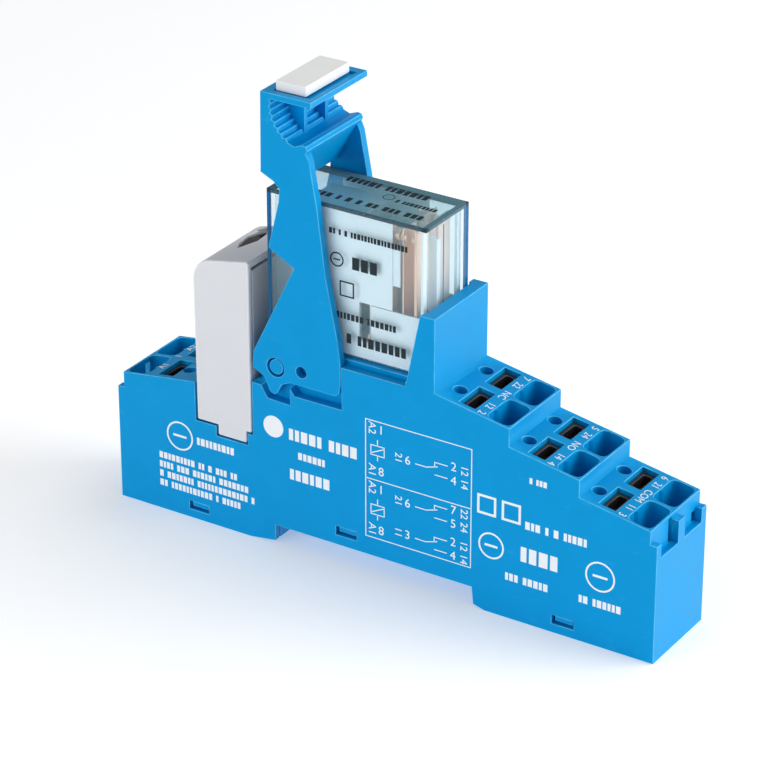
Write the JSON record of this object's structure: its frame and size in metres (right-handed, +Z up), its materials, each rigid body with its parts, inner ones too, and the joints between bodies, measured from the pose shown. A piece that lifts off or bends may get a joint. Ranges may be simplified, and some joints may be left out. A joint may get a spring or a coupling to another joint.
{
  "type": "plug-in relay",
  "caption": "Slim plug-in relay in a rail-mounting socket with stepped spring terminals, a tilting retaining clip with marker tag, and a plug-in indicator module.",
  "frame": {"origin": "centre of the socket's footprint, on the plane of its feet", "axes": "+X along the socket towards its stepped contact terminals, +Y across its width away from the printed side, +Z up from the feet"},
  "size_m": [0.1, 0.0158, 0.0801],
  "materials": {
    "blue_plastic": "fine satin moulding",
    "spring_steel": "bright strip and wire",
    "brass": "tinned brass strip",
    "black_plastic": "satin moulding",
    "clear_plastic": "clear, faintly blue, polished",
    "white_plastic": "satin moulding",
    "copper_wire": "enamelled copper wire",
    "soft_iron": "zinc-plated soft iron",
    "copper_strip": "rolled copper strip",
    "grey_plastic": "fine satin moulding",
    "smoked_plastic": "dark polished window",
    "board": "lacquered circuit board",
    "led_resin": "clear tinted resin"
  },
  "bodies": {
    "socket": {"socket_housing": "blue_plastic", "base_cover": "blue_plastic", "rail_foot_spring": "spring_steel", "contact_bar_11": "brass", "contact_bar_12": "brass", "contact_bar_14": "brass", "contact_bar_21": "brass", "contact_bar_22": "brass", "contact_bar_24": "brass", "contact_bar_a1": "brass", "contact_bar_a2": "brass", "clamp_spring_11": "spring_steel", "clamp_spring_12": "spring_steel", "clamp_spring_14": "spring_steel", "clamp_spring_21": "spring_steel", "clamp_spring_22": "spring_steel", "clamp_spring_24": "spring_steel", "clamp_spring_a1": "spring_steel", "clamp_spring_a2": "spring_steel"},
    "rail_foot": {"rail_foot": "blue_plastic"},
    "relay": {"relay_cover": "clear_plastic", "relay_base": "white_plastic", "coil_bobbin": "white_plastic", "coil_winding": "copper_wire", "iron_core": "soft_iron", "magnet_yoke": "soft_iron", "closed_contact_1": "copper_strip", "closed_contact_2": "copper_strip", "common_pin_1": "copper_strip", "common_pin_2": "copper_strip", "open_contact_1": "copper_strip", "open_contact_2": "copper_strip", "coil_pin_1": "copper_strip", "coil_pin_2": "copper_strip"},
    "armature": {"armature": "soft_iron"},
    "actuator_card": {"actuator_card": "white_plastic"},
    "moving_blades": {"common_blade_1": "copper_strip", "common_blade_2": "copper_strip"},
    "indicator_module": {"module_case": "grey_plastic", "module_cover": "grey_plastic", "led_lens": "smoked_plastic", "module_board": "board", "indicator_led": "led_resin", "module_diode": "black_plastic", "module_pin_a1": "brass", "module_pin_a2": "brass"},
    "clip": {"retaining_clip": "blue_plastic"},
    "marker_tag": {"marker_tag": "white_plastic"},
    "button_11": {"release_button_11": "black_plastic"},
    "button_12": {"release_button_12": "black_plastic"},
    "button_14": {"release_button_14": "black_plastic"},
    "button_21": {"release_button_21": "black_plastic"},
    "button_22": {"release_button_22": "black_plastic"},
    "button_24": {"release_button_24": "black_plastic"},
    "button_a1": {"release_button_a1": "black_plastic"},
    "button_a2": {"release_button_a2": "black_plastic"}
  },
  "joints": [
    {"name": "clip_pivot", "type": "hinge", "parent": "socket", "child": "clip", "pos_m": [-0.0188, 0, 0.0321], "axis": [0, 1, 0], "range_deg": [-24, 0]},
    {"name": "relay_lift", "type": "slide", "parent": "socket", "child": "relay", "axis": [0, 0, 1], "range_m": [0, 0.0034]},
    {"name": "module_pull", "type": "slide", "parent": "socket", "child": "indicator_module", "axis": [0, 0, 1], "range_m": [0, 0.012]},
    {"name": "rail_foot_slide", "type": "slide", "parent": "socket", "child": "rail_foot", "axis": [1, 0, 0], "range_m": [0, 0.0025], "stiffness_N_per_m": 400, "deforming": ["rail_foot_spring"]},
    {"name": "marker_tag_lift", "type": "slide", "parent": "clip", "child": "marker_tag", "axis": [0, 0, 1], "range_m": [0, 0.004]},
    {"name": "armature_pivot", "type": "hinge", "parent": "relay", "child": "armature", "pos_m": [-0.0062, 0, 0.0593], "axis": [0, 1, 0], "range_deg": [-4.5, 0], "stiffness_Nm_per_rad": 0.0015, "springref_deg": 3.44},
    {"name": "actuator_card_slide", "type": "slide", "parent": "relay", "child": "actuator_card", "axis": [1, 0, 0], "range_m": [0, 0.0005]},
    {"name": "moving_blades_flex", "type": "hinge", "parent": "relay", "child": "moving_blades", "pos_m": [0.00295, 0, 0.0425], "axis": [0, 1, 0], "range_deg": [0, 2.6]},
    {"name": "button_12_press", "type": "slide", "parent": "socket", "child": "button_12", "axis": [0, 0, -1], "range_m": [0, 0.0015], "stiffness_N_per_m": 150, "deforming": ["clamp_spring_12"]},
    {"name": "button_22_press", "type": "slide", "parent": "socket", "child": "button_22", "axis": [0, 0, -1], "range_m": [0, 0.0015], "stiffness_N_per_m": 150, "deforming": ["clamp_spring_22"]},
    {"name": "button_14_press", "type": "slide", "parent": "socket", "child": "button_14", "axis": [0, 0, -1], "range_m": [0, 0.0015], "stiffness_N_per_m": 150, "deforming": ["clamp_spring_14"]},
    {"name": "button_24_press", "type": "slide", "parent": "socket", "child": "button_24", "axis": [0, 0, -1], "range_m": [0, 0.0015], "stiffness_N_per_m": 150, "deforming": ["clamp_spring_24"]},
    {"name": "button_11_press", "type": "slide", "parent": "socket", "child": "button_11", "axis": [0, 0, -1], "range_m": [0, 0.0015], "stiffness_N_per_m": 150, "deforming": ["clamp_spring_11"]},
    {"name": "button_21_press", "type": "slide", "parent": "socket", "child": "button_21", "axis": [0, 0, -1], "range_m": [0, 0.0015], "stiffness_N_per_m": 150, "deforming": ["clamp_spring_21"]},
    {"name": "button_a1_press", "type": "slide", "parent": "socket", "child": "button_a1", "axis": [0, 0, -1], "range_m": [0, 0.0015], "stiffness_N_per_m": 150, "deforming": ["clamp_spring_a1"]},
    {"name": "button_a2_press", "type": "slide", "parent": "socket", "child": "button_a2", "axis": [0, 0, -1], "range_m": [0, 0.0015], "stiffness_N_per_m": 150, "deforming": ["clamp_spring_a2"]}
  ],
  "couplings": [
    {"joint": "relay_lift", "follows": "clip_pivot", "m_per_rad": -0.00788},
    {"joint": "actuator_card_slide", "follows": "armature_pivot", "m_per_rad": -0.006},
    {"joint": "moving_blades_flex", "follows": "armature_pivot", "ratio": -0.544}
  ]
}
